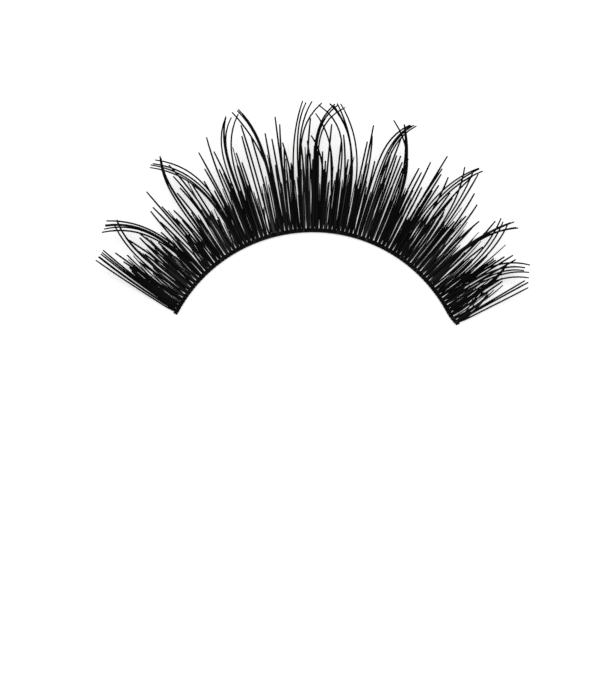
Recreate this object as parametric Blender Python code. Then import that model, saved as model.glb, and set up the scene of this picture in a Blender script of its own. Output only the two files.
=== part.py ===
"""False eyelash strip: a thread band, a fringe of short lashes, and long lashes that cross in pairs.

The strip lies flat on its band, as on a table. The origin is the middle of the band's underside.
+X runs along the strip, +Y the way the lashes point, +Z up, the way their tips curl.
Distances out from the band are measured from its inner edge, and heights from the table.
"""

import math
from collections import namedtuple

import bmesh
import bpy

MM = 0.001

# Band
BAND_LENGTH = 34.5 * MM  # along its inner edge
BAND_RADIUS = 15.25 * MM  # of its inner edge, which follows the lid
BAND_WIDTH = 0.36 * MM
BAND_CORNER = 0.10 * MM  # the bevel of its two upper corners
BAND_RIM = 0.03 * MM  # how far the band stands above the highest lash root
BAND_SEGMENT = 0.5 * MM  # length of one straight piece of the faceted arc
END_SPRING = 0.30 * MM  # how far the band's right end springs out of the arc
END_SPRING_START = 0.92  # share of the half band where it begins

# Lashes
LONGEST_LASH = 12.9 * MM  # reach of the longest one, seen from above
LASH_RISE = 4.6 * MM  # height that its tip curls up to
CURL_POWER = 2.0
END_LEAN = 0.02  # how far the lashes lean back from the ends to the middle, as a share of the half band
SEAT_GAP = 0.03 * MM  # between the band and each lash root

# Fringe of short lashes, one pointed lock for each knot on the band
KNOT_PITCH = 0.42 * MM
FRINGE_THICKNESS = 0.18 * MM
BACKING_WIDTH = 0.12 * MM  # the row of knots that the locks grow from
ROOT_PLACE = 0.33  # share of the backing's width at which the locks begin, inside it
LOCK_ROOT_WIDTH = 0.31 * MM
LOCK_BELLY_WIDTH = 0.44 * MM
LOCK_TIP_WIDTH = 0.05 * MM
LOCK_BELLY_PLACE = 0.5  # share of its length at which a lock is widest
LOCK_FULLNESS = 0.9  # share of the fringe's thickness that a lock fills there
SINGLE_WIDTH = 0.15 * MM  # of a long lash that stands out of the fringe by itself
SINGLE_TAPER_PLACE = 0.6  # share of its length from which it tapers
SINGLE_LIFT = 0.02 * MM  # how far its middle lies above that of the locks
SHORTEST_LOCK = 0.27  # share of the longest lash
TUFT_SLOPE = 6.5  # how fast the reach falls to each side of a tuft's peak, in share per share

# Bundles of long lashes, in two levels above the fringe, so that they cross without touching
BUNDLE_ROOT_WIDTH = 0.27 * MM
BUNDLE_BELLY_WIDTH = 0.42 * MM
BUNDLE_TIP_WIDTH = 0.12 * MM
BUNDLE_BELLY_PLACE = 0.8  # share of its length at which a bundle is widest
BUNDLE_THICKNESS = 0.11 * MM
LEVEL_GAP = 0.06 * MM

# Where each tuft of the fringe has its peak, along the half band from its middle, and how far it reaches
Tuft = namedtuple("Tuft", "place reach")
TUFTS = [
    Tuft(-0.92, 0.56), Tuft(-0.86, 0.52), Tuft(-0.80, 0.56), Tuft(-0.73, 0.47), Tuft(-0.66, 0.47),
    Tuft(-0.59, 0.47), Tuft(-0.54, 0.55), Tuft(-0.44, 0.47), Tuft(-0.39, 0.55), Tuft(-0.33, 0.58),
    Tuft(-0.26, 0.44), Tuft(-0.21, 0.60), Tuft(-0.14, 0.60), Tuft(-0.07, 0.60), Tuft(-0.03, 0.58),
    Tuft(0.01, 0.54), Tuft(0.07, 0.60), Tuft(0.11, 0.58), Tuft(0.18, 0.60), Tuft(0.25, 0.55),
    Tuft(0.31, 0.54), Tuft(0.38, 0.50), Tuft(0.45, 0.54), Tuft(0.51, 0.55), Tuft(0.55, 0.55),
    Tuft(0.62, 0.57), Tuft(0.67, 0.54), Tuft(0.72, 0.56), Tuft(0.78, 0.45), Tuft(0.82, 0.51),
    Tuft(0.90, 0.48),
]

# Long lashes that stand out of the fringe one by one
SINGLE_BEND = 2.0
Single = namedtuple("Single", "root tip reach")
SINGLES = [
    Single(-0.91, -0.905, 0.65), Single(-0.70, -0.70, 0.64), Single(-0.67, -0.665, 0.78),
    Single(-0.55, -0.555, 0.75), Single(-0.43, -0.44, 0.81), Single(-0.41, -0.395, 0.89),
    Single(-0.32, -0.315, 0.70), Single(-0.27, -0.275, 0.88), Single(-0.20, -0.20, 0.78),
    Single(-0.165, -0.16, 0.90), Single(-0.15, -0.15, 0.84), Single(-0.075, -0.05, 0.86),
    Single(0.03, 0.03, 0.82), Single(0.08, 0.075, 0.76), Single(0.165, 0.168, 0.86),
    Single(0.19, 0.18, 0.79), Single(0.29, 0.29, 0.71), Single(0.40, 0.395, 0.75),
    Single(0.435, 0.436, 0.86), Single(0.46, 0.462, 0.64), Single(0.625, 0.60, 0.74),
    Single(0.67, 0.665, 0.62), Single(0.845, 0.848, 0.66),
]

# Bundles of long lashes: place of the root and of the tip along the half band, reach, how late the bundle
# bends aside, and its level above the fringe
Bundle = namedtuple("Bundle", "name root tip reach bend level")
BUNDLES = [
    Bundle("end_lashes_left", -0.985, -0.945, 0.755, 1.2, 1),
    Bundle("cross_lashes_1a", -0.88, -0.81, 0.79, 3.0, 1),
    Bundle("cross_lashes_1b", -0.73, -0.85, 0.83, 2.8, 2),
    Bundle("cross_lashes_2a", -0.60, -0.56, 0.93, 4.5, 1),
    Bundle("cross_lashes_2b", -0.455, -0.60, 0.905, 3.5, 2),
    Bundle("cross_lashes_3a", -0.37, -0.29, 0.98, 5.0, 1),
    Bundle("cross_lashes_3b", -0.195, -0.28, 1.00, 2.4, 2),
    Bundle("cross_lashes_4a", -0.11, -0.055, 0.975, 4.5, 1),
    Bundle("cross_lashes_4b", 0.06, -0.02, 0.93, 5.0, 2),
    Bundle("cross_lashes_5a", -0.03, 0.05, 0.98, 5.0, 1),
    Bundle("cross_lashes_5b", 0.14, 0.035, 0.98, 2.9, 2),
    Bundle("cross_lashes_6a", 0.215, 0.295, 0.95, 5.0, 1),
    Bundle("cross_lashes_6b", 0.35, 0.26, 0.94, 2.9, 2),
    Bundle("cross_lashes_7a", 0.46, 0.55, 0.92, 3.0, 1),
    Bundle("cross_lashes_7b", 0.58, 0.53, 0.87, 2.6, 2),
    Bundle("cross_lashes_8a", 0.69, 0.76, 0.81, 2.6, 1),
    Bundle("cross_lashes_8b", 0.80, 0.73, 0.75, 4.0, 2),
    Bundle("cross_lashes_9a", 0.83, 0.92, 0.72, 4.0, 1),
    Bundle("cross_lashes_9b", 0.91, 0.855, 0.60, 3.5, 2),
    Bundle("end_lashes_right", 0.985, 0.961, 0.65, 1.6, 1),
]
LEVELS = max(bundle.level for bundle in BUNDLES)

# How fine the facets are
BUNDLE_STEPS = 12
BUNDLE_SIDES = 6
LOCK_STEPS = 4
LOCK_SIDES = 4
SINGLE_STEPS = 8
SHARP_ANGLE = 40
WELD_DISTANCE = 1e-7


def band_half_angle():
    return BAND_LENGTH / (2 * BAND_RADIUS)


def level_height(level):
    """Height of the middle of a level of bundles, at the band. Level 0 is the fringe."""
    if level == 0:
        return FRINGE_THICKNESS / 2
    return FRINGE_THICKNESS + level * LEVEL_GAP + (level - 0.5) * BUNDLE_THICKNESS


def band_height():
    return level_height(LEVELS) + BUNDLE_THICKNESS / 2 + BAND_RIM


def lash_start():
    """How far out from the band's inner edge the lashes begin."""
    return BAND_WIDTH + SEAT_GAP


def end_spring(place):
    """How far the band has sprung out of its arc at this share of the half band."""
    share = max(0.0, (place - END_SPRING_START) / (1 - END_SPRING_START))
    return END_SPRING * share * share


def strip_point(place, out, height):
    """A point at this share of the half band, this far out from its inner edge and this high."""
    angle = place * band_half_angle()
    radius = BAND_RADIUS + end_spring(place) + out
    middle = BAND_RADIUS + BAND_WIDTH / 2
    return (radius * math.sin(angle), radius * math.cos(angle) - middle, height)


def curl_height(x, y):
    """How far the curl lifts a lash over this point of the table."""
    middle = BAND_RADIUS + BAND_WIDTH / 2
    out = math.hypot(x, y + middle) - BAND_RADIUS - lash_start()
    return LASH_RISE * (max(0.0, out) / LONGEST_LASH) ** CURL_POWER


def clear_scene():
    for obj in list(bpy.data.objects):
        bpy.data.objects.remove(obj, do_unlink=True)


def new_collection(name):
    collection = bpy.data.collections.new(name)
    bpy.context.scene.collection.children.link(collection)
    return collection


def new_material(name, colour, roughness):
    material = bpy.data.materials.new(name)
    material.use_nodes = True
    shader = material.node_tree.nodes["Principled BSDF"]
    shader.inputs["Base Color"].default_value = (*colour, 1.0)
    shader.inputs["Roughness"].default_value = roughness
    shader.inputs["Metallic"].default_value = 0.0
    material.diffuse_color = (*colour, 1.0)
    return material


def section_curve(name, outline, collection):
    """A closed flat outline, used as the cross-section of a swept curve."""
    data = bpy.data.curves.new(name, "CURVE")
    data.dimensions = "2D"
    data.fill_mode = "NONE"
    spline = data.splines.new("POLY")
    spline.points.add(len(outline) - 1)
    for point, (x, y) in zip(spline.points, outline):
        point.co = (x, y, 0.0, 1.0)
    spline.use_cyclic_u = True
    obj = bpy.data.objects.new(name, data)
    obj.hide_render = True
    obj.display_type = "WIRE"
    collection.objects.link(obj)
    return obj


def lock_section(name, half_thickness, sides, collection):
    """The flattened round section of a lock that is 2 wide."""
    angles = [2 * math.pi * i / sides for i in range(sides)]
    outline = [(math.cos(a), half_thickness * math.sin(a)) for a in angles]
    return section_curve(name, outline, collection)


def swept(name, points, scales, section, collection):
    """A closed mesh swept along the points, with the section scaled at each of them."""
    data = bpy.data.curves.new(name, "CURVE")
    data.dimensions = "3D"
    data.twist_mode = "Z_UP"
    data.bevel_mode = "OBJECT"
    data.bevel_object = section
    data.use_fill_caps = True
    spline = data.splines.new("POLY")
    spline.points.add(len(points) - 1)
    for point, co, scale in zip(spline.points, points, scales):
        point.co = (*co, 1.0)
        point.radius = scale
    curve = bpy.data.objects.new(name, data)
    collection.objects.link(curve)
    bpy.context.view_layer.update()
    graph = bpy.context.evaluated_depsgraph_get()
    mesh = bpy.data.meshes.new_from_object(curve.evaluated_get(graph))
    bpy.data.objects.remove(curve, do_unlink=True)
    welder = bmesh.new()
    welder.from_mesh(mesh)
    bmesh.ops.remove_doubles(welder, verts=welder.verts, dist=WELD_DISTANCE)
    bmesh.ops.recalc_face_normals(welder, faces=welder.faces)
    welder.to_mesh(mesh)
    welder.free()
    mesh.name = name
    return mesh


def lash_points(root, tip, start, reach, bend, height, steps):
    """The flat route of a lash: straight out from the band, then aside as it nears its tip."""
    shares = [i / steps for i in range(steps + 1)]
    return [
        strip_point(root + (tip - root) * t**bend, start + (reach - start) * t, height)
        for t in shares
    ]


def width_along(t, root, belly, tip, belly_place):
    """Width of a lock at share t of its length: it swells to its belly, then tapers to its tip."""
    if t < belly_place:
        return root + (belly - root) * t / belly_place
    return belly + (tip - belly) * (t - belly_place) / (1 - belly_place)


def curled(mesh):
    """Lifts each point of a flat lash by the curl over its place, so that levels stay clear of each other."""
    for vertex in mesh.vertices:
        vertex.co.z += curl_height(vertex.co.x, vertex.co.y)
    mesh.update()
    return mesh


def add_object(name, mesh, material, collection):
    mesh.materials.clear()
    mesh.materials.append(material)
    mesh.shade_smooth()
    mesh.set_sharp_from_angle(angle=math.radians(SHARP_ANGLE))
    obj = bpy.data.objects.new(name, mesh)
    collection.objects.link(obj)
    return obj


def arc_places():
    """Places of the band's corners. Their number is even, so that a flat facet faces the middle."""
    count = 2 * max(4, round(BAND_LENGTH / BAND_SEGMENT / 2)) + 1
    return [-1 + 2 * i / count for i in range(count + 1)]


def make_band(material, strip, helpers):
    """The thread band: flat underside and inner edge, where the glue goes, and bevelled upper corners."""
    half, top, corner = BAND_WIDTH / 2, band_height(), min(BAND_CORNER, BAND_WIDTH / 3)
    outline = [
        (-half, 0.0),
        (half, 0.0),
        (half, top - corner),
        (half - corner, top),
        (corner - half, top),
        (-half, top - corner),
    ]
    section = section_curve("band_section", outline, helpers)
    points = [strip_point(place, half, 0.0) for place in arc_places()]
    mesh = swept("band", points, [1.0] * len(points), section, helpers)
    add_object("band", mesh, material, strip)


def knot_places():
    """Places of the knots along the half band, evenly spaced and clear of the band's ends."""
    count = round(BAND_LENGTH / KNOT_PITCH)
    return [-1 + 2 * (i + 0.5) / count for i in range(count)]


def lock_reach(place):
    """Reach of the fringe at this place: the nearest tuft's peak, falling away to each side of it."""
    peaks = [tuft.reach - TUFT_SLOPE * abs(place - tuft.place) for tuft in TUFTS]
    return max(SHORTEST_LOCK, *peaks) * LONGEST_LASH


def fringe_lock(place, section, helpers):
    """One pointed lock of short lashes, flat, with its root inside the backing."""
    start = lash_start() + ROOT_PLACE * BACKING_WIDTH
    tip = place * (1 - END_LEAN)
    points = lash_points(place, tip, start, lock_reach(place), 1.0, level_height(0), LOCK_STEPS)
    shares = [i / LOCK_STEPS for i in range(LOCK_STEPS + 1)]
    sizes = (LOCK_ROOT_WIDTH, LOCK_BELLY_WIDTH, LOCK_TIP_WIDTH, LOCK_BELLY_PLACE)
    widths = [width_along(t, *sizes) for t in shares]
    return swept("lock", points, [w / 2 for w in widths], section, helpers)


def fringe_single(single, section, helpers):
    """A long lash that stands out of the fringe by itself, with its root inside the backing."""
    start = lash_start() + ROOT_PLACE * BACKING_WIDTH
    reach = single.reach * LONGEST_LASH
    height = level_height(0) + SINGLE_LIFT
    points = lash_points(single.root, single.tip, start, reach, SINGLE_BEND, height, SINGLE_STEPS)
    shares = [i / SINGLE_STEPS for i in range(SINGLE_STEPS + 1)]
    sizes = (SINGLE_WIDTH, SINGLE_WIDTH, LOCK_TIP_WIDTH, SINGLE_TAPER_PLACE)
    widths = [width_along(t, *sizes) for t in shares]
    return swept("single", points, [w / 2 for w in widths], section, helpers)


def joined(meshes, name):
    """All the meshes as one."""
    builder = bmesh.new()
    for mesh in meshes:
        builder.from_mesh(mesh)
        bpy.data.meshes.remove(mesh)
    whole = bpy.data.meshes.new(name)
    builder.to_mesh(whole)
    builder.free()
    return whole


def make_fringe(material, strip, helpers):
    """The short lashes: a backing along the band, with the locks and the single lashes fused to it."""
    near, far = lash_start(), lash_start() + BACKING_WIDTH
    half = (far - near) / 2
    outline = [(-half, 0.0), (half, 0.0), (half, FRINGE_THICKNESS), (-half, FRINGE_THICKNESS)]
    backing_section = section_curve("backing_section", outline, helpers)
    points = [strip_point(place, near + half, 0.0) for place in arc_places()]
    backing = swept("short_lashes", points, [1.0] * len(points), backing_section, helpers)

    flatness = LOCK_FULLNESS * FRINGE_THICKNESS / LOCK_BELLY_WIDTH
    section = lock_section("lock_section", flatness, LOCK_SIDES, helpers)
    locks = [fringe_lock(place, section, helpers) for place in knot_places()]
    locks += [fringe_single(single, section, helpers) for single in SINGLES]
    growth = bpy.data.objects.new("lock_growth", curled(joined(locks, "lock_growth")))
    growth.hide_render = True
    growth.display_type = "WIRE"
    helpers.objects.link(growth)

    fringe = add_object("short_lashes", curled(backing), material, strip)
    fuse = fringe.modifiers.new("fuse_locks", "BOOLEAN")
    fuse.operation = "UNION"
    fuse.object = growth
    fuse.use_self = True


def make_bundle(bundle, section, material, strip, helpers):
    """A bundle of long lashes that bends aside near its tip, over or under the one that it crosses."""
    height, reach = level_height(bundle.level), bundle.reach * LONGEST_LASH
    points = lash_points(
        bundle.root, bundle.tip, lash_start(), reach, bundle.bend, height, BUNDLE_STEPS
    )
    shares = [i / BUNDLE_STEPS for i in range(BUNDLE_STEPS + 1)]
    sizes = (BUNDLE_ROOT_WIDTH, BUNDLE_BELLY_WIDTH, BUNDLE_TIP_WIDTH, BUNDLE_BELLY_PLACE)
    widths = [width_along(t, *sizes) for t in shares]
    mesh = swept(bundle.name, points, [w / 2 for w in widths], section, helpers)
    add_object(bundle.name, curled(mesh), material, strip)


def main():
    clear_scene()
    strip = new_collection("false_eyelash_strip")
    helpers = new_collection("helpers")
    thread = new_material("black_thread", (0.010, 0.010, 0.011), 0.8)
    fibre = new_material("black_lash_fibre", (0.008, 0.007, 0.007), 0.4)
    make_band(thread, strip, helpers)
    make_fringe(fibre, strip, helpers)
    flatness = BUNDLE_THICKNESS / BUNDLE_BELLY_WIDTH
    section = lock_section("bundle_section", flatness, BUNDLE_SIDES, helpers)
    for bundle in BUNDLES:
        make_bundle(bundle, section, fibre, strip, helpers)


main()
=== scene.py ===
"""Looks of the false eyelash strip: single fibres, the knots that tie them and the band's twisted thread.

Lengths are in metres. Places along the band are shares of half its length, from its middle, and
reaches are shares of the longest lash, as in the solids.
"""

import math
from collections import namedtuple

import bpy
import numpy as np
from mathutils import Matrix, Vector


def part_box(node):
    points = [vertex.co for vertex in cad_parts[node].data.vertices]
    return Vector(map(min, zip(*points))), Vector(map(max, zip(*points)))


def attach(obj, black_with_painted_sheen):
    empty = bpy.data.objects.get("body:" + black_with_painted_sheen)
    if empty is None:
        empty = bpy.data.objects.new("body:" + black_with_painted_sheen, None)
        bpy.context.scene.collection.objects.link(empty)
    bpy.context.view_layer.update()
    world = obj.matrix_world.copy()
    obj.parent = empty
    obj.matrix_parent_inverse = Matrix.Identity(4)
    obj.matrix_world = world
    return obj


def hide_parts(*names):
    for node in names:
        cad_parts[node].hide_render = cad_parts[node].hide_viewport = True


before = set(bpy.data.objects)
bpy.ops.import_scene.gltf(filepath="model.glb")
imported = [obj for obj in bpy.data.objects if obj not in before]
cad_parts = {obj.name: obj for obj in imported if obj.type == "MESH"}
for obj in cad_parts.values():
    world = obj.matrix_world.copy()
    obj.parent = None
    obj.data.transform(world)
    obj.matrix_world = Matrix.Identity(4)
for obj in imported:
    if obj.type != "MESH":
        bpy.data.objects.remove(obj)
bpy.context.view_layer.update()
bpy.ops.object.select_all(action="DESELECT")

MM = 0.001
UP = np.array([0.0, 0.0, 1.0])
random = np.random.default_rng(11)

# The arc that the solids follow
BAND_LENGTH = 34.5 * MM  # along its inner edge
BAND_RADIUS = 15.25 * MM  # of its inner edge
BAND_WIDTH = 0.36 * MM
END_SPRING = 0.30 * MM  # how far the band's right end springs out of the arc
END_SPRING_START = 0.92
BAND_HALF_ANGLE = BAND_LENGTH / (2 * BAND_RADIUS)
BAND_MIDDLE_RADIUS = BAND_RADIUS + BAND_WIDTH / 2
BAND_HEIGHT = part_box("band")[1].z

# The curl
LONGEST_LASH = 12.9 * MM
LASH_RISE = 4.6 * MM  # at the longest lash's length out from where the curl starts
CURL_POWER = 2.0
SEAT_GAP = 0.03 * MM
LASH_START = BAND_WIDTH + SEAT_GAP

# Fibres. They are thicker than such fibres usually are, to come out as dark as in the photograph
FIBRE_RADIUS = 0.090 * MM
SHORT_THICKNESS = (0.58, 0.80)  # least and most, as shares of that radius
SINGLE_THICKNESS = 1.05
BUNDLE_THICKNESS = (0.9, 1.05)
FIBRE_SIDES = 5
SHORT_STEPS, SINGLE_STEPS, BUNDLE_STEPS = 8, 14, 20
SHORT_WIDTHS = ([0, 0.15, 0.85, 1], [0.85, 1.0, 0.95, 0.7])  # shares of the length, and the widths there
LONG_WIDTHS = ([0, 0.1, 0.9, 1], [0.85, 1.0, 1.0, 0.8])
LONG_FIBRE_SHEEN = 0.7  # the highest sheen level that a long fibre may have; a higher level paints the fibre a lighter grey, as painted sheen
SMOOTH_ANGLE = math.radians(80)

# Knots, one for each small bunch of short fibres
KNOT_PITCH = 0.42 * MM
KNOT_COUNT = round(BAND_LENGTH / KNOT_PITCH)
KNOT_SLIP = 0.0008  # how far a knot may be off its even place, as a share of the half band
KNOT_RADIUS = 0.05 * MM  # of the strand that turns round the band
KNOT_CLEARANCE = 0.02 * MM  # from the band's top and bottom to the middle of that strand
KNOT_STEPS = 14
KNOT_TURNS = 1.15
KNOT_START = 0.6  # where on the way round the turn starts, in radians
KNOT_LEAN = (0.5, 0.12)  # mean and spread
KNOT_SLANT = 1.5  # how far a turn runs along the band at a lean of one, in half knot pitches
KNOT_EVEN_WIDTHS = ([0, 1], [1, 1])
KNOT_FAN = 0.0158  # spread of a knot's fibres where they leave it, as a share of the half band
FIBRE_FAN = 0.0085  # how much further they spread
FAN_LENGTH = 0.6 * MM  # how far out most of that spread is reached
KNOT_GATHER = 0.5  # the share of its distance from the knot that a long fibre keeps at its root

# Short fibres. Places, leans and bows are shares of the half band
FIBRES_PER_KNOT = 5
PLACE_IN_KNOT = (0.3, 0.7)  # where a fibre stands in its own part of the knot's spread
TUFT_PULL = 0.2  # how far fibres lean towards their tuft's place, as a share of their distance from it
TUFT_PULL_LIMIT = 0.02  # the distance past which they lean no further
LEAN_SPREAD = 0.002
TIP_SPREAD = 0.0025
BOW_SPREAD = 0.0015
END_LEAN = 0.02  # how far fibres at the band's ends lean towards its middle, and less further in
END_TURN = 0.045  # how much further the last ones at each end lean that way
END_TURN_START = 0.85
SHORT_LENGTHS = (0.72, 1.08)  # as shares of the tuft's reach
SHORT_BENDS = (1.4, 2.2)
LONGER_CHANCE = 0.10  # that a short fibre stands out of its tuft
LONGER_BY = (0.08, 0.20)
LONGER_LIMIT = 0.75

# Heights of the fibres' middles over the line of the curl
FRINGE_HEIGHTS = (0.09 * MM, 0.22 * MM)
SINGLE_HEIGHTS = (0.16 * MM, 0.24 * MM)
BUNDLE_LOOSENESS = 0.03  # how far a bundle's fibres lie over and under each other, in millimetres

# Fringe: where each tuft of short fibres has its peak, and how far it reaches
SHORTEST_LOCK = 0.27
TUFT_SLOPE = 6.5
Tuft = namedtuple("Tuft", "place reach")
TUFTS = [
    Tuft(-0.95, 0.50), Tuft(-0.92, 0.56), Tuft(-0.86, 0.52), Tuft(-0.80, 0.56), Tuft(-0.73, 0.47),
    Tuft(-0.66, 0.47), Tuft(-0.59, 0.47), Tuft(-0.54, 0.55), Tuft(-0.44, 0.47), Tuft(-0.39, 0.55),
    Tuft(-0.33, 0.58), Tuft(-0.26, 0.44), Tuft(-0.21, 0.60), Tuft(-0.14, 0.60), Tuft(-0.07, 0.60),
    Tuft(-0.03, 0.58), Tuft(0.01, 0.54), Tuft(0.07, 0.60), Tuft(0.11, 0.58), Tuft(0.18, 0.60),
    Tuft(0.25, 0.55), Tuft(0.31, 0.54), Tuft(0.38, 0.50), Tuft(0.45, 0.54), Tuft(0.51, 0.55),
    Tuft(0.55, 0.55), Tuft(0.62, 0.57), Tuft(0.67, 0.54), Tuft(0.72, 0.56), Tuft(0.78, 0.45),
    Tuft(0.82, 0.51), Tuft(0.90, 0.48), Tuft(0.96, 0.42),
]

# Long fibres that stand out of the fringe one by one. A higher bend keeps a fibre straight for longer
Fibre = namedtuple("Fibre", "root tip reach bend")
SINGLES = [
    Fibre(-0.977, -0.930, 0.47, 1.2), Fibre(-0.970, -0.938, 0.42, 1.0), Fibre(-0.966, -0.922, 0.50, 1.2),
    Fibre(-0.958, -0.915, 0.52, 1.3), Fibre(-0.952, -0.926, 0.45, 1.0), Fibre(-0.945, -0.912, 0.48, 1.2),
    Fibre(-0.918, -0.916, 0.56, 1.5), Fibre(-0.914, -0.905, 0.65, 1.5), Fibre(-0.882, -0.881, 0.46, 1.0),
    Fibre(-0.842, -0.841, 0.46, 1.0), Fibre(-0.824, -0.838, 0.65, 2.5), Fibre(-0.822, -0.803, 0.57, 1.6),
    Fibre(-0.800, -0.806, 0.52, 1.5), Fibre(-0.784, -0.791, 0.60, 2.5), Fibre(-0.765, -0.768, 0.44, 1.0),
    Fibre(-0.722, -0.729, 0.48, 1.5), Fibre(-0.714, -0.701, 0.65, 2.2), Fibre(-0.690, -0.702, 0.54, 1.8),
    Fibre(-0.676, -0.685, 0.66, 1.8), Fibre(-0.666, -0.665, 0.78, 1.5), Fibre(-0.652, -0.658, 0.62, 1.5),
    Fibre(-0.640, -0.645, 0.48, 1.5), Fibre(-0.625, -0.630, 0.44, 1.5), Fibre(-0.612, -0.632, 0.54, 1.8),
    Fibre(-0.568, -0.581, 0.63, 2.0), Fibre(-0.543, -0.561, 0.65, 3.0), Fibre(-0.540, -0.558, 0.75, 3.3),
    Fibre(-0.522, -0.549, 0.84, 2.3), Fibre(-0.509, -0.516, 0.63, 1.5), Fibre(-0.466, -0.470, 0.60, 1.5),
    Fibre(-0.449, -0.451, 0.50, 1.2), Fibre(-0.436, -0.447, 0.68, 2.2), Fibre(-0.428, -0.440, 0.81, 1.6),
    Fibre(-0.414, -0.395, 0.89, 3.0), Fibre(-0.397, -0.399, 0.63, 1.5), Fibre(-0.388, -0.389, 0.59, 1.0),
    Fibre(-0.379, -0.391, 0.77, 2.2), Fibre(-0.326, -0.327, 0.60, 1.0), Fibre(-0.320, -0.318, 0.70, 1.0),
    Fibre(-0.305, -0.309, 0.62, 1.5), Fibre(-0.286, -0.282, 0.81, 1.2), Fibre(-0.268, -0.275, 0.89, 3.0),
    Fibre(-0.243, -0.252, 0.78, 2.0), Fibre(-0.205, -0.202, 0.79, 1.0), Fibre(-0.190, -0.185, 0.54, 1.0),
    Fibre(-0.176, -0.182, 0.74, 1.6), Fibre(-0.165, -0.148, 0.84, 2.0), Fibre(-0.162, -0.160, 0.90, 3.0),
    Fibre(-0.162, -0.143, 0.65, 1.8), Fibre(-0.131, -0.122, 0.54, 1.3), Fibre(-0.120, -0.146, 0.70, 2.4),
    Fibre(-0.068, -0.080, 0.70, 2.0), Fibre(-0.064, -0.044, 0.87, 2.2), Fibre(-0.056, -0.059, 0.60, 1.0),
    Fibre(-0.038, -0.036, 0.56, 1.0), Fibre(-0.036, -0.056, 0.70, 2.4), Fibre(-0.034, -0.030, 0.66, 1.0),
    Fibre(-0.030, -0.026, 0.71, 1.0), Fibre(-0.026, -0.022, 0.68, 1.0), Fibre(-0.022, -0.020, 0.62, 1.0),
    Fibre(-0.010, -0.015, 0.62, 1.5), Fibre(0.006, 0.001, 0.62, 1.5),
    Fibre(0.012, -0.042, 0.74, 4.5), Fibre(0.018, 0.014, 0.55, 1.2), Fibre(0.022, 0.028, 0.83, 2.2),
    Fibre(0.060, 0.031, 0.64, 1.3), Fibre(0.070, 0.067, 0.72, 1.0), Fibre(0.097, 0.102, 0.58, 1.0),
    Fibre(0.110, 0.072, 0.76, 2.2), Fibre(0.161, 0.159, 0.74, 1.0), Fibre(0.178, 0.167, 0.87, 1.8),
    Fibre(0.190, 0.171, 0.79, 4.0), Fibre(0.212, 0.203, 0.61, 2.0), Fibre(0.262, 0.252, 0.72, 2.0),
    Fibre(0.262, 0.268, 0.83, 1.2), Fibre(0.284, 0.274, 0.70, 1.6), Fibre(0.292, 0.288, 0.71, 1.2),
    Fibre(0.300, 0.302, 0.67, 1.0), Fibre(0.322, 0.312, 0.63, 1.5), Fibre(0.330, 0.317, 0.71, 2.0),
    Fibre(0.361, 0.367, 0.68, 1.6), Fibre(0.368, 0.368, 0.49, 1.0), Fibre(0.380, 0.382, 0.66, 1.5),
    Fibre(0.386, 0.385, 0.51, 1.0), Fibre(0.400, 0.394, 0.76, 3.5), Fibre(0.420, 0.410, 0.56, 1.5),
    Fibre(0.430, 0.441, 0.76, 2.0), Fibre(0.432, 0.434, 0.86, 2.5), Fibre(0.444, 0.446, 0.57, 1.0),
    Fibre(0.445, 0.448, 0.72, 1.0), Fibre(0.453, 0.452, 0.58, 1.0), Fibre(0.459, 0.462, 0.64, 1.0),
    Fibre(0.500, 0.475, 0.73, 3.0), Fibre(0.512, 0.513, 0.64, 1.0), Fibre(0.523, 0.532, 0.62, 1.5),
    Fibre(0.594, 0.595, 0.49, 1.0), Fibre(0.612, 0.616, 0.58, 1.0), Fibre(0.617, 0.584, 0.75, 2.2),
    Fibre(0.642, 0.618, 0.70, 2.4), Fibre(0.655, 0.666, 0.62, 2.0), Fibre(0.674, 0.664, 0.57, 2.0),
    Fibre(0.735, 0.706, 0.71, 2.0), Fibre(0.750, 0.750, 0.51, 1.0), Fibre(0.816, 0.816, 0.52, 1.0),
    Fibre(0.823, 0.824, 0.53, 1.0), Fibre(0.833, 0.832, 0.60, 1.0), Fibre(0.842, 0.845, 0.66, 1.5),
    Fibre(0.858, 0.864, 0.66, 2.0), Fibre(0.912, 0.900, 0.50, 1.2), Fibre(0.940, 0.911, 0.49, 1.1),
    Fibre(0.985, 0.941, 0.34, 1.0),
]

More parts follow.
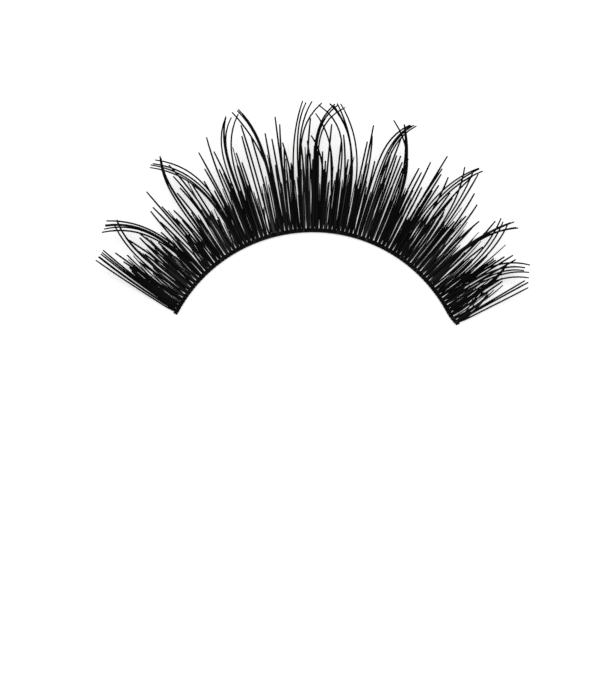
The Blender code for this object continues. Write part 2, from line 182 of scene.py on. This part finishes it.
# The fibres of each long bundle, by the node that they stand for
BUNDLES = {
    "end_lashes_left": [
        Fibre(-0.998, -0.965, 0.745, 0.95), Fibre(-0.986, -0.950, 0.742, 1.3),
        Fibre(-0.984, -0.948, 0.735, 1.3), Fibre(-0.980, -0.937, 0.736, 1.0),
        Fibre(-0.974, -0.930, 0.736, 1.0), Fibre(-0.968, -0.921, 0.738, 1.1),
    ],
    "cross_lashes_1a": [
        Fibre(-0.882, -0.826, 0.780, 3.0), Fibre(-0.862, -0.806, 0.790, 3.9),
        Fibre(-0.858, -0.812, 0.775, 3.9),
    ],
    "cross_lashes_1b": [
        Fibre(-0.745, -0.872, 0.820, 3.2), Fibre(-0.742, -0.859, 0.822, 3.7),
        Fibre(-0.737, -0.848, 0.826, 3.5), Fibre(-0.734, -0.846, 0.834, 3.3),
        Fibre(-0.722, -0.832, 0.845, 2.9),
    ],
    "cross_lashes_2a": [
        Fibre(-0.606, -0.557, 0.932, 4.9), Fibre(-0.594, -0.560, 0.905, 6.2),
        Fibre(-0.591, -0.558, 0.915, 6.6),
    ],
    "cross_lashes_2b": [
        Fibre(-0.472, -0.605, 0.905, 3.0), Fibre(-0.468, -0.598, 0.918, 3.0),
        Fibre(-0.463, -0.590, 0.916, 3.3), Fibre(-0.457, -0.577, 0.928, 3.7),
    ],
    "cross_lashes_3a": [
        Fibre(-0.376, -0.313, 0.985, 5.8), Fibre(-0.363, -0.315, 0.975, 5.5),
        Fibre(-0.360, -0.314, 0.980, 5.5), Fibre(-0.357, -0.298, 0.966, 7.0),
        Fibre(-0.349, -0.274, 0.976, 5.0),
    ],
    "cross_lashes_3b": [
        Fibre(-0.197, -0.291, 1.000, 2.25), Fibre(-0.219, -0.274, 1.000, 4.6),
        Fibre(-0.213, -0.270, 1.008, 4.4),
    ],
    "cross_lashes_4a": [
        Fibre(-0.122, -0.068, 1.000, 3.0), Fibre(-0.097, -0.058, 0.987, 5.6),
        Fibre(-0.092, -0.039, 0.996, 4.8), Fibre(-0.088, -0.008, 0.985, 5.7),
    ],
    "cross_lashes_4b": [
        Fibre(0.052, -0.027, 0.905, 3.8), Fibre(0.080, -0.018, 0.969, 6.5),
    ],
    "cross_lashes_5a": [
        Fibre(-0.033, 0.033, 0.982, 6.3), Fibre(-0.026, 0.044, 0.980, 7.0),
        Fibre(-0.018, 0.066, 0.964, 8.0),
    ],
    "cross_lashes_5b": [
        Fibre(0.125, 0.017, 0.982, 4.2), Fibre(0.128, 0.022, 0.975, 4.0), Fibre(0.135, 0.030, 0.970, 3.3),
        Fibre(0.142, 0.040, 0.987, 2.6), Fibre(0.158, 0.051, 0.987, 2.95),
    ],
    "cross_lashes_6a": [
        Fibre(0.213, 0.280, 0.950, 6.2), Fibre(0.229, 0.284, 0.950, 6.0), Fibre(0.238, 0.292, 0.960, 6.6),
        Fibre(0.247, 0.300, 0.961, 7.0),
    ],
    "cross_lashes_6b": [
        Fibre(0.355, 0.226, 0.944, 3.9), Fibre(0.348, 0.262, 0.940, 2.4), Fibre(0.355, 0.266, 0.925, 2.6),
        Fibre(0.362, 0.264, 0.936, 2.5),
    ],
    "cross_lashes_7a": [
        Fibre(0.463, 0.542, 0.920, 3.2), Fibre(0.474, 0.544, 0.915, 2.9), Fibre(0.488, 0.557, 0.918, 3.3),
        Fibre(0.515, 0.541, 0.840, 2.2),
    ],
    "cross_lashes_7b": [
        Fibre(0.570, 0.502, 0.862, 2.8), Fibre(0.574, 0.532, 0.885, 2.6), Fibre(0.592, 0.552, 0.880, 1.6),
    ],
    "cross_lashes_8a": [
        Fibre(0.690, 0.745, 0.790, 2.2), Fibre(0.695, 0.751, 0.814, 2.3), Fibre(0.700, 0.776, 0.810, 3.2),
        Fibre(0.705, 0.770, 0.800, 3.2),
    ],
    "cross_lashes_8b": [
        Fibre(0.780, 0.712, 0.757, 2.5), Fibre(0.793, 0.726, 0.750, 2.7), Fibre(0.802, 0.744, 0.763, 3.0),
    ],
    "cross_lashes_9a": [
        Fibre(0.822, 0.907, 0.732, 3.9), Fibre(0.845, 0.907, 0.690, 4.4), Fibre(0.860, 0.914, 0.672, 4.6),
        Fibre(0.868, 0.929, 0.700, 3.8), Fibre(0.885, 0.946, 0.677, 4.0),
    ],
    "cross_lashes_9b": [
        Fibre(0.912, 0.858, 0.600, 2.5), Fibre(0.918, 0.862, 0.585, 2.6), Fibre(0.905, 0.870, 0.540, 2.4),
    ],
    "end_lashes_right": [
        Fibre(0.997, 0.949, 0.640, 0.55), Fibre(0.998, 0.960, 0.655, 0.50),
        Fibre(1.000, 0.978, 0.632, 0.80),
    ],
}

# Stage
FLOOR_SIZE = 4
FLOOR_GLOW = 0.50
ROOM_STRENGTH = 0.12
LIGHT_STRENGTH = 1.9
LIGHT_SPREAD = math.radians(60)
LIGHT_TILT = math.radians(-16)  # so that it shines a little from the side of the lash tips

# Camera: straight above, with the strip turned a little clockwise in the frame, as in the photograph
CAMERA_HEIGHT = 500 * MM
FRAME_HEIGHT = 67.7 * MM
SENSOR = 36.0
STRIP_TILT = math.radians(2.4)
CAMERA_X, CAMERA_Y = -1.44 * MM, -10.89 * MM
CLIP_START = 0.01


# Places on the strip


def end_spring(place):
    """How far the band's right end springs out of the arc here."""
    share = np.clip((place - END_SPRING_START) / (1 - END_SPRING_START), 0, None)
    return END_SPRING * share**2


def curl_height(out):
    """How far the curl lifts a lash this far out from where it leaves the band."""
    return LASH_RISE * (np.clip(out - LASH_START, 0, None) / LONGEST_LASH) ** CURL_POWER


def strip_points(place, out, height):
    """Points at these shares of the half band, this far out from its inner edge, this high over the curl."""
    angle = place * BAND_HALF_ANGLE
    radius = BAND_RADIUS + end_spring(place) + out
    return np.stack(
        [
            radius * np.sin(angle),
            radius * np.cos(angle) - BAND_MIDDLE_RADIUS,
            height + curl_height(out) + 0 * angle,
        ],
        axis=-1,
    )


def strip_places(points):
    """The share of the half band, the distance out and the height over the curl of these points."""
    x, y = points[:, 0], points[:, 1] + BAND_MIDDLE_RADIUS
    place = np.arctan2(x, y) / BAND_HALF_ANGLE
    out = np.hypot(x, y) - BAND_RADIUS - end_spring(place)
    return place, out, points[:, 2] - curl_height(out)


# Shapes that repeat, modelled once

SAME_HEIGHT = 1e-6


def finish_master(name):
    """Takes the active object's mesh and removes the object."""
    bpy.ops.object.mode_set(mode="OBJECT")
    master = bpy.context.object
    bpy.ops.object.transform_apply(location=True, rotation=True, scale=True)
    mesh = master.data
    mesh.name = name
    bpy.data.objects.remove(master, do_unlink=True)
    return mesh


def select_top(mesh):
    """In edit mode, selects only the faces at the top end."""
    bpy.ops.mesh.select_all(action="DESELECT")
    bpy.ops.object.mode_set(mode="OBJECT")
    top = max(v.co.z for v in mesh.vertices)
    for polygon in mesh.polygons:
        polygon.select = all(mesh.vertices[i].co.z > top - SAME_HEIGHT for i in polygon.vertices)
    bpy.ops.object.mode_set(mode="EDIT")


def model_fibre(name, steps, widths):
    """One straight fibre, its length and radius one: a short cylinder at its root, drawn out in steps."""
    bpy.ops.object.select_all(action="DESELECT")
    bpy.ops.mesh.primitive_cylinder_add(
        vertices=FIBRE_SIDES, radius=1, depth=1 / steps, location=(0, 0, 0.5 / steps)
    )
    bpy.ops.object.transform_apply(location=True, rotation=True, scale=True)
    bpy.ops.object.mode_set(mode="EDIT")
    bpy.ops.mesh.select_mode(type="FACE")
    width = 1.0
    for step in range(1, steps + 1):
        select_top(bpy.context.object.data)
        if step > 1:
            bpy.ops.mesh.extrude_region_move(TRANSFORM_OT_translate={"value": (0, 0, 1 / steps)})
        wanted = np.interp(step / steps, *widths)
        scale = wanted / width
        bpy.ops.transform.resize(value=(scale, scale, 1))
        width = wanted
    return finish_master(name)


def model_ply(name, turns, steps):
    """One ply of thread a unit long: a short open tube, repeated and joined end to end, with closed ends."""
    bpy.ops.object.select_all(action="DESELECT")
    length = 1 / (turns * steps)
    bpy.ops.mesh.primitive_cylinder_add(
        vertices=PLY_SIDES, radius=1, depth=length, location=(0, 0, length / 2), end_fill_type="NOTHING"
    )
    bpy.ops.object.transform_apply(location=True, rotation=True, scale=True)
    array = bpy.context.object.modifiers.new("lay", "ARRAY")
    array.count = turns * steps
    array.use_relative_offset = False
    array.use_constant_offset = True
    array.constant_offset_displace = (0, 0, length)
    array.use_merge_vertices = True
    array.merge_threshold = length / 100
    bpy.ops.object.modifier_apply(modifier="lay")
    bpy.ops.object.mode_set(mode="EDIT")
    bpy.ops.mesh.select_all(action="DESELECT")
    bpy.ops.mesh.select_mode(type="EDGE")
    bpy.ops.mesh.select_non_manifold()
    bpy.ops.mesh.edge_face_add()
    return finish_master(name)


def mesh_arrays(mesh):
    """Vertex places, face sizes and face corners of a mesh."""
    points = np.zeros(len(mesh.vertices) * 3)
    mesh.vertices.foreach_get("co", points)
    sizes = np.array([len(p.vertices) for p in mesh.polygons])
    corners = np.zeros(sizes.sum(), int)
    mesh.polygons.foreach_get("vertices", corners)
    return points.reshape(-1, 3), sizes, corners


# Laying a modelled shape along routes


def along(values, shares):
    """Values given at even steps of each route, read at these shares of it."""
    last = values.shape[1] - 1
    at = np.clip(shares, 0, 1) * last
    low = np.minimum(at.astype(int), last - 1)
    part = (at - low)[None, :, None]
    return values[:, low] * (1 - part) + values[:, low + 1] * part


def unit(vectors):
    return vectors / np.linalg.norm(vectors, axis=-1, keepdims=True)


def laid(master, routes, radii, ups):
    """A copy of the master for each route, bent along it.

    Returns the copies' points, face sizes, face corners and shares of the way along.
    """
    points, sizes, corners = mesh_arrays(master)
    shares = points[:, 2]
    centre = along(routes, shares)
    forward = unit(along(np.gradient(routes, axis=1), shares))
    side = unit(np.cross(ups, forward))
    over = np.cross(forward, side)
    across = points[None, :, 0, None] * side + points[None, :, 1, None] * over
    placed = centre + across * radii[:, None, None]
    copies = len(routes)
    starts = np.arange(copies) * len(points)
    all_corners = (corners[None, :] + starts[:, None]).ravel()
    return placed.reshape(-1, 3), np.tile(sizes, copies), all_corners, np.tile(shares, copies)


def joined_piece(name, batches, material):
    """One mesh object from batches of laid copies, with each copy's sheen level (its gloss and its painted
    sheen) and its shares as attributes.
    """
    points = np.concatenate([b[0] for b in batches])
    sizes = np.concatenate([b[1] for b in batches])
    offsets = np.cumsum([0] + [len(b[0]) for b in batches[:-1]])
    corners = np.concatenate([b[2] + o for b, o in zip(batches, offsets)])
    shares = np.concatenate([b[3] for b in batches])
    sheen_levels = np.concatenate([b[4] for b in batches])
    mesh = bpy.data.meshes.new(name)
    mesh.vertices.add(len(points))
    mesh.vertices.foreach_set("co", points.ravel())
    mesh.loops.add(len(corners))
    mesh.loops.foreach_set("vertex_index", corners)
    mesh.polygons.add(len(sizes))
    mesh.polygons.foreach_set("loop_start", np.concatenate([[0], np.cumsum(sizes)[:-1]]))
    mesh.update(calc_edges=True)
    mesh.validate()
    mesh.attributes.new("share", "FLOAT", "POINT").data.foreach_set("value", shares)
    mesh.attributes.new("sheen_level", "FLOAT", "POINT").data.foreach_set("value", sheen_levels)
    mesh.materials.append(material)
    piece = bpy.data.objects.new(name, mesh)
    bpy.context.scene.collection.objects.link(piece)
    bpy.ops.object.select_all(action="DESELECT")
    piece.select_set(True)
    bpy.context.view_layer.objects.active = piece
    bpy.ops.object.mode_set(mode="EDIT")
    bpy.ops.mesh.select_all(action="SELECT")
    bpy.ops.mesh.normals_make_consistent(inside=False)
    bpy.ops.object.mode_set(mode="OBJECT")
    bpy.ops.object.shade_smooth_by_angle(angle=SMOOTH_ANGLE)
    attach(piece, "root")
    return piece


def batch(master, routes, radii, ups=UP, most_sheen=1.0):
    """Laid copies with a random sheen level for each, up to the most sheen; the level sets each fibre's gloss
    and its painted sheen.
    """
    points, sizes, corners, shares = laid(master, routes, radii, ups)
    sheen_levels = np.repeat(most_sheen * random.random(len(routes)), len(points) // len(routes))
    return points, sizes, corners, shares, sheen_levels


# Routes of the fibres

ROOT_PLACE = BAND_WIDTH / 2  # fibres start in the middle of the band, where their knots hold them
ROUTE_STEPS = 24
ROUTE_SHARES = np.linspace(0, 1, ROUTE_STEPS + 1)


def fibre_route(fibre, height, bow=0.0, fan=0.0):
    """Straight out from the band, then aside near the tip.

    A bow moves the fibre's middle sideways, and a fan opens within the first millimetre.
    """
    t = ROUTE_SHARES
    reach = fibre.reach * LONGEST_LASH
    place = fibre.root + (fibre.tip - fibre.root) * t**fibre.bend + bow * np.sin(np.pi * t)
    place += fan * (1 - np.exp(-((t * reach / FAN_LENGTH) ** 2)))
    return strip_points(place, ROOT_PLACE + (reach - ROOT_PLACE) * t, height)


def knot_places():
    """Even steps along the band, each a little off as tied by hand."""
    even = -1 + 2 * (np.arange(KNOT_COUNT) + 0.5) / KNOT_COUNT
    return even + random.uniform(-KNOT_SLIP, KNOT_SLIP, KNOT_COUNT)


def tuft_reach(place):
    """The nearest tuft's peak, falling away to each side of it, and that tuft's place."""
    reach, tuft_place = max((t.reach - TUFT_SLOPE * abs(place - t.place), t.place) for t in TUFTS)
    return max(SHORTEST_LOCK, reach), tuft_place


def end_turn(place):
    """How much further short fibres near each end of the band lean towards its middle."""
    share = np.clip((abs(place) - END_TURN_START) / (1 - END_TURN_START), 0, None)
    return -np.sign(place) * END_TURN * share**2


def fringe_routes(places):
    """Short fibres that fan out of each knot and lean together into tufts."""
    routes = []
    for place in places:
        reach, tuft_place = tuft_reach(place)
        lean = np.clip(tuft_place - place, -TUFT_PULL_LIMIT, TUFT_PULL_LIMIT) * TUFT_PULL
        lean += random.normal(0, LEAN_SPREAD)
        lean += end_turn(place) - END_LEAN * place
        for i in range(FIBRES_PER_KNOT):
            fan = (i + random.uniform(*PLACE_IN_KNOT)) / FIBRES_PER_KNOT - 0.5
            root = place + fan * KNOT_FAN
            tip = root + lean + random.normal(0, TIP_SPREAD)
            length = reach * random.uniform(*SHORT_LENGTHS)
            if random.random() < LONGER_CHANCE:
                length = min(length + random.uniform(*LONGER_BY), LONGER_LIMIT)
            fibre = Fibre(root, tip, length, random.uniform(*SHORT_BENDS))
            height = random.uniform(*FRINGE_HEIGHTS)
            bow = random.normal(0, BOW_SPREAD)
            routes.append(fibre_route(fibre, height, bow, fan * FIBRE_FAN))
    return np.array(routes)


def tied_route(fibre, height, places):
    """A long fibre's route, with its root drawn towards the nearest knot and the rest where it was."""
    knot = places[np.argmin(abs(places - fibre.root))]
    root = knot + (fibre.root - knot) * KNOT_GATHER
    fan = fibre.root - root
    return fibre_route(fibre._replace(root=root, tip=fibre.tip - fan), height, fan=fan)


def single_routes(places):
    """The long fibres of the fringe, each at a height of its own."""
    return np.array([tied_route(fibre, random.uniform(*SINGLE_HEIGHTS), places) for fibre in SINGLES])


def bundle_routes(node, fibres, places):
    """The fibres of a bundle at the height of its solid, a little over and under each other."""
    points, _, _ = mesh_arrays(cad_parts[node].data)
    height = strip_places(points)[2].mean()
    routes = []
    for fibre in fibres:
        offset = random.uniform(-BUNDLE_LOOSENESS, BUNDLE_LOOSENESS) * MM
        routes.append(tied_route(fibre, height + offset, places))
    return np.array(routes)


# Routes of the band's thread and knots

THREAD_TURNS = 48
PLY_STEPS = 10  # in each turn
PLY_SIDES = 8
PLY_RADIUS = 0.115 * MM
THREAD_PLACE = BAND_WIDTH / 2 - 0.01 * MM
THREAD_HEIGHTS = (0.235 * MM, 0.33 * MM)
# How far the lower thread runs past the band's ends and the upper one stops short, as shares of the half band
THREAD_TAILS = (0.003, -0.003)
FAR_OUT = 1.0  # metres, far enough for the direction away from the band


def ply_routes():
    """Two threads, one over the other, each of two plies that twist round each other."""
    t = np.linspace(0, 1, THREAD_TURNS * PLY_STEPS + 1)
    routes = []
    for layer, height in enumerate(THREAD_HEIGHTS):
        for ply in range(2):
            angle = 2 * math.pi * (THREAD_TURNS * t + ply / 2 + layer / 4)
            out = THREAD_PLACE + PLY_RADIUS * np.cos(angle)
            rise = height + PLY_RADIUS * np.sin(angle)
            place = (-1 + 2 * t) * (1 + THREAD_TAILS[layer])
            points = strip_points(place, np.zeros_like(t), rise)
            outward = unit(strip_points(place, np.full_like(t, FAR_OUT), 0) * (1, 1, 0) - points * (1, 1, 0))
            routes.append(points + outward * out[:, None])
    return np.array(routes)


def knot_routes(places):
    """The fibre's turn round both threads at each knot, leaning a little along the band."""
    t = np.linspace(0, 1, KNOT_STEPS + 1)
    angle = 2 * math.pi * KNOT_TURNS * t
    half_width = BAND_WIDTH / 2
    half_height = BAND_HEIGHT / 2 - KNOT_CLEARANCE
    routes, ups = [], []
    for place in places:
        lean = random.normal(*KNOT_LEAN)
        out = THREAD_PLACE + half_width * np.cos(angle + KNOT_START)
        height = BAND_HEIGHT / 2 + half_height * np.sin(angle + KNOT_START)
        slip = place + lean * (t - 0.5) * KNOT_PITCH / BAND_LENGTH * KNOT_SLANT
        low = strip_points(slip, np.zeros_like(t), height)
        outward = np.array([math.sin(place * BAND_HALF_ANGLE), math.cos(place * BAND_HALF_ANGLE), 0.0])
        routes.append(low + outward * out[:, None])
        ups.append(np.cross(UP, outward))
    return np.array(routes), np.array(ups)[:, None, :]


# Materials


def linear(colour):
    """sRGB hex to linear red, green, blue and alpha."""
    values = [int(colour[i : i + 2], 16) / 255 for i in (1, 3, 5)]
    return (*(v / 12.92 if v <= 0.04045 else ((v + 0.055) / 1.055) ** 2.4 for v in values), 1.0)


def add_node(tree, kind, settings=None, links=None):
    """Adds a node. Settings name its properties or inputs, and links give an input the socket it reads."""
    node = tree.nodes.new(kind)
    for name, value in (settings or {}).items():
        if name in node.inputs:
            node.inputs[name].default_value = value
        else:
            setattr(node, name, value)
    for name, socket in (links or {}).items():
        tree.links.new(socket, node.inputs[name])
    return node


def new_material(name):
    material = bpy.data.materials.new(name)
    material.use_nodes = True
    tree = material.node_tree
    return material, tree, tree.nodes["Principled BSDF"]


def ramp(tree, source, stops):
    """A colour ramp over a value, from stops of place and hex colour."""
    node = add_node(tree, "ShaderNodeValToRGB", links={"Fac": source})
    elements = node.color_ramp.elements
    elements[0].position, elements[0].color = stops[0][0], linear(stops[0][1])
    elements[1].position, elements[1].color = stops[-1][0], linear(stops[-1][1])
    for place, colour in stops[1:-1]:
        elements.new(place).color = linear(colour)
    return node.outputs["Color"]


def drawn_pbt_fibre():
    """PBT drawn through a die, dyed black in the melt and heat-set.

    Most fibres are a dense matt black. The rest are glossier and have a lighter grey base colour, which is
    painted sheen standing in for the satin highlight of a fibre that turns a flat side up.
    """
    material, tree, shader = new_material("drawn_pbt_fibre")
    sheen_level = add_node(tree, "ShaderNodeAttribute", {"attribute_name": "sheen_level"}).outputs["Fac"]
    share = add_node(tree, "ShaderNodeAttribute", {"attribute_name": "share"}).outputs["Fac"]
    # Base colour by sheen level: plain black up to 0.4, then greys that paint the satin highlight, as painted
    # sheen
    black_with_painted_sheen = ramp(tree, sheen_level, [(0.4, "#030303"), (0.75, "#201F1E"), (1.0, "#44413F")])
    thin_tip = add_node(
        tree, "ShaderNodeMapRange", {"From Min": 0.75, "From Max": 1.0, "To Max": 0.4}, {"Value": share}
    )
    colour = add_node(
        tree, "ShaderNodeMix", {"data_type": "RGBA"}, {"Factor": thin_tip.outputs["Result"], "A": black_with_painted_sheen}
    )
    colour.inputs["B"].default_value = linear("#1C1716")
    place = add_node(tree, "ShaderNodeTexCoord").outputs["Object"]
    grain_size = 0.06 * MM
    grain_share = 0.1  # of the roughness
    grain = add_node(tree, "ShaderNodeTexNoise", {"Scale": 1 / grain_size, "Detail": 2.0}, {"Vector": place})
    satin = add_node(
        tree, "ShaderNodeMapRange", {"From Min": 0.45, "To Min": 0.64, "To Max": 0.30}, {"Value": sheen_level}
    )
    rough = add_node(
        tree,
        "ShaderNodeMath",
        {"operation": "MULTIPLY_ADD"},
        {0: grain.outputs["Fac"], 2: satin.outputs["Result"]},
    )
    rough.inputs[1].default_value = grain_share
    bump = add_node(
        tree, "ShaderNodeBump", {"Strength": 0.15, "Distance": 0.004 * MM}, {"Height": grain.outputs["Fac"]}
    )
    tree.links.new(colour.outputs["Result"], shader.inputs["Base Color"])
    tree.links.new(rough.outputs["Value"], shader.inputs["Roughness"])
    tree.links.new(bump.outputs["Normal"], shader.inputs["Normal"])
    shader.inputs["IOR"].default_value = 1.5
    shader.inputs["Specular IOR Level"].default_value = 0.12
    return material


def sized_cotton_thread():
    """Cotton thread, spun, dyed black and sized with clear glue: matt fuzz with glossier patches of glue."""
    material, tree, shader = new_material("sized_cotton_thread")
    place = add_node(tree, "ShaderNodeTexCoord").outputs["Object"]
    fuzz_size = 0.03 * MM
    glue_patch = 0.9 * MM
    fuzz = add_node(tree, "ShaderNodeTexNoise", {"Scale": 1 / fuzz_size, "Detail": 4.0}, {"Vector": place})
    glue = add_node(tree, "ShaderNodeTexNoise", {"Scale": 1 / glue_patch, "Detail": 2.0}, {"Vector": place})
    colour = ramp(tree, fuzz.outputs["Fac"], [(0.3, "#040404"), (0.7, "#0C0B0C")])
    rough = add_node(
        tree,
        "ShaderNodeMapRange",
        {"From Min": 0.4, "From Max": 0.6, "To Min": 0.85, "To Max": 0.42},
        {"Value": glue.outputs["Fac"]},
    )
    bump = add_node(
        tree, "ShaderNodeBump", {"Strength": 0.5, "Distance": 0.012 * MM}, {"Height": fuzz.outputs["Fac"]}
    )
    tree.links.new(colour, shader.inputs["Base Color"])
    tree.links.new(rough.outputs["Result"], shader.inputs["Roughness"])
    tree.links.new(bump.outputs["Normal"], shader.inputs["Normal"])
    shader.inputs["IOR"].default_value = 1.5
    shader.inputs["Specular IOR Level"].default_value = 0.1
    shader.inputs["Sheen Weight"].default_value = 0.03
    return material


def matt_white_sheet():
    """Cast acrylic sheet with a matt face, lit a little from below as on a light table: an even white."""
    material, tree, shader = new_material("matt_white_sheet")
    place = add_node(tree, "ShaderNodeTexCoord").outputs["Object"]
    haze_size = 4 * MM
    haze = add_node(tree, "ShaderNodeTexNoise", {"Scale": 1 / haze_size, "Detail": 3.0}, {"Vector": place})
    colour = ramp(tree, haze.outputs["Fac"], [(0.3, "#F6F6F5"), (0.7, "#FAFAFA")])
    tree.links.new(colour, shader.inputs["Base Color"])
    shader.inputs["Roughness"].default_value = 0.7
    shader.inputs["IOR"].default_value = 1.49
    shader.inputs["Specular IOR Level"].default_value = 0.2
    shader.inputs["Emission Color"].default_value = linear("#FFFFFF")
    shader.inputs["Emission Strength"].default_value = FLOOR_GLOW
    return material


# Pieces


def make_band(thread, fibre, places):
    """The two twisted threads of the band, and the turns of fibre that tie the knots."""
    ply = model_ply("ply", THREAD_TURNS, PLY_STEPS)
    plies = ply_routes()
    threads = joined_piece("band_threads", [batch(ply, plies, np.full(len(plies), PLY_RADIUS))], thread)
    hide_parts("band")
    turn = model_fibre("knot_turn", KNOT_STEPS, KNOT_EVEN_WIDTHS)
    routes, ups = knot_routes(places)
    knots = joined_piece("lash_knots", [batch(turn, routes, np.full(len(routes), KNOT_RADIUS), ups)], fibre)


def make_fringe(fibre, places):
    """The short fibres of every knot and the longer single ones, as one piece."""
    short = model_fibre("short_fibre", SHORT_STEPS, SHORT_WIDTHS)
    long = model_fibre("single_fibre", SINGLE_STEPS, LONG_WIDTHS)
    routes, singles = fringe_routes(places), single_routes(places)
    radii = FIBRE_RADIUS * random.uniform(*SHORT_THICKNESS, len(routes))
    single_radii = np.full(len(singles), SINGLE_THICKNESS * FIBRE_RADIUS)
    short_batch = batch(short, routes, radii)
    single_batch = batch(long, singles, single_radii, most_sheen=LONG_FIBRE_SHEEN)
    piece = joined_piece("fringe_fibres", [short_batch, single_batch], fibre)
    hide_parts("short_lashes")


def make_bundles(fibre, places):
    """The fibres of each long bundle, in place of its solid."""
    long = model_fibre("long_fibre", BUNDLE_STEPS, LONG_WIDTHS)
    for node, fibres in BUNDLES.items():
        radii = FIBRE_RADIUS * random.uniform(*BUNDLE_THICKNESS, len(fibres))
        routes = bundle_routes(node, fibres, places)
        bundle = batch(long, routes, radii, most_sheen=LONG_FIBRE_SHEEN)
        piece = joined_piece(node + "_fibres", [bundle], fibre)
        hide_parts(node)


def make_floor():
    bpy.ops.object.select_all(action="DESELECT")
    bpy.ops.mesh.primitive_plane_add(size=FLOOR_SIZE, location=(0, 0, 0))
    floor = bpy.context.object
    floor.name = "floor"
    floor.data.materials.append(matt_white_sheet())


def make_light():
    """A dim white room all round, and a wide soft light from nearly overhead."""
    world = bpy.data.worlds.new("white_room")
    bpy.context.scene.world = world
    world.use_nodes = True
    background = world.node_tree.nodes["Background"]
    background.inputs["Color"].default_value = linear("#FFFFFF")
    background.inputs["Strength"].default_value = ROOM_STRENGTH
    data = bpy.data.lights.new("soft_light", "SUN")
    data.energy = LIGHT_STRENGTH
    data.angle = LIGHT_SPREAD
    light = bpy.data.objects.new("soft_light", data)
    light.rotation_euler = (LIGHT_TILT, 0, 0)
    bpy.context.scene.collection.objects.link(light)


def make_camera():
    data = bpy.data.cameras.new("camera")
    data.sensor_fit = "VERTICAL"
    data.sensor_height = SENSOR
    data.lens = SENSOR * CAMERA_HEIGHT / FRAME_HEIGHT
    data.clip_start = CLIP_START
    camera = bpy.data.objects.new("camera", data)
    camera.location = (CAMERA_X, CAMERA_Y, CAMERA_HEIGHT)
    camera.rotation_euler = (0, 0, STRIP_TILT)
    bpy.context.scene.collection.objects.link(camera)
    bpy.context.scene.camera = camera


def main():
    fibre = drawn_pbt_fibre()
    places = knot_places()
    make_band(sized_cotton_thread(), fibre, places)
    make_fringe(fibre, places)
    make_bundles(fibre, places)
    make_floor()
    make_light()
    make_camera()
    bpy.context.scene.view_settings.view_transform = "Standard"


main()
